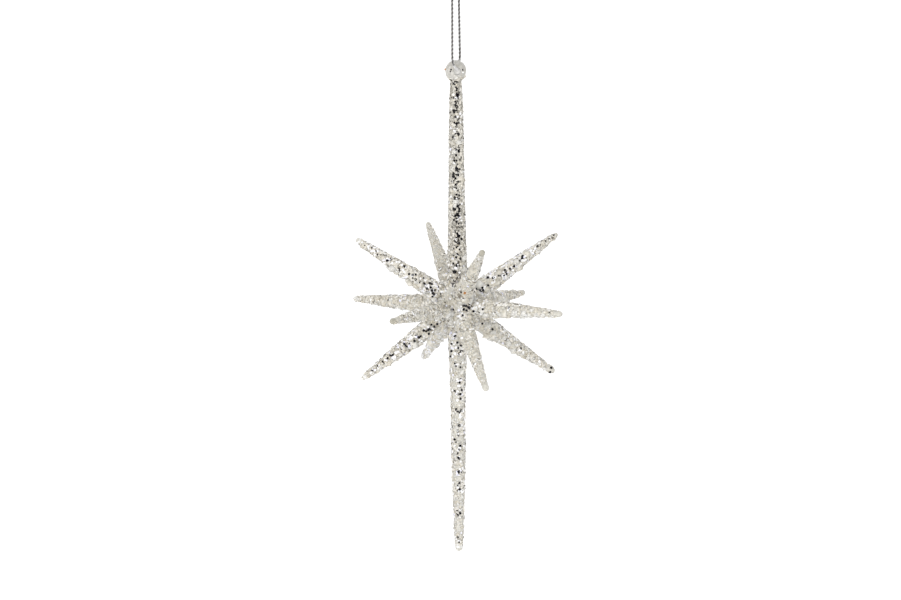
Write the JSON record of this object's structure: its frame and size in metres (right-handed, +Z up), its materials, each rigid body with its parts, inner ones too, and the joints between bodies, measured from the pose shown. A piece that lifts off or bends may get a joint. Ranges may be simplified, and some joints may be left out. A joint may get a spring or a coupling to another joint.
{
  "type": "icicle hanging ornament",
  "caption": "Glittered clear starburst ornament on a long vertical spindle, hung by its eye from a knotted loop of twisted metallic cord.",
  "frame": {"origin": "the hanging point: under the cord's knot, where the loop bears on a hook", "axes": "+Z up along the spindle and the cord loop; -Y towards the viewer, the side of the eye's front mouth; +X to the viewer's right"},
  "size_m": [0.097, 0.097, 0.2757],
  "materials": {
    "clear_acrylic": "clear moulded acrylic under a coat of small clear granules, bare at the tips",
    "silver_glitter": "hexagonal metallised glitter flakes about 1 mm across, scattered through the granule coat",
    "metallic_cord": "two-ply twisted silver metallic thread"
  },
  "bodies": {
    "hanger": {"cord_back_top": "metallic_cord", "cord_front_top": "metallic_cord", "cord_knot": "metallic_cord"},
    "cord_loop": {"cord_back_leg": "metallic_cord", "cord_front_leg": "metallic_cord"},
    "ornament": {"bottom_spindle": "clear_acrylic", "core": "clear_acrylic", "lower_spike_1": "clear_acrylic", "lower_spike_2": "clear_acrylic", "lower_spike_3": "clear_acrylic", "lower_spike_4": "clear_acrylic", "middle_spike_1": "clear_acrylic", "middle_spike_2": "clear_acrylic", "middle_spike_3": "clear_acrylic", "middle_spike_4": "clear_acrylic", "top_spindle_with_eye": "clear_acrylic", "upper_spike_1": "clear_acrylic", "upper_spike_2": "clear_acrylic", "upper_spike_3": "clear_acrylic", "upper_spike_4": "clear_acrylic"}
  },
  "joints": [
    {"name": "cord_twist", "type": "hinge", "parent": "hanger", "child": "cord_loop", "pos_m": [0, 0, -0.012], "axis": [0, 0, 1], "range_deg": [-170, 170]},
    {"name": "eye_swing", "type": "hinge", "parent": "cord_loop", "child": "ornament", "pos_m": [0, 0, -0.041], "axis": [0.1736, -0.9848, 0], "range_deg": [-80, 80]}
  ]
}
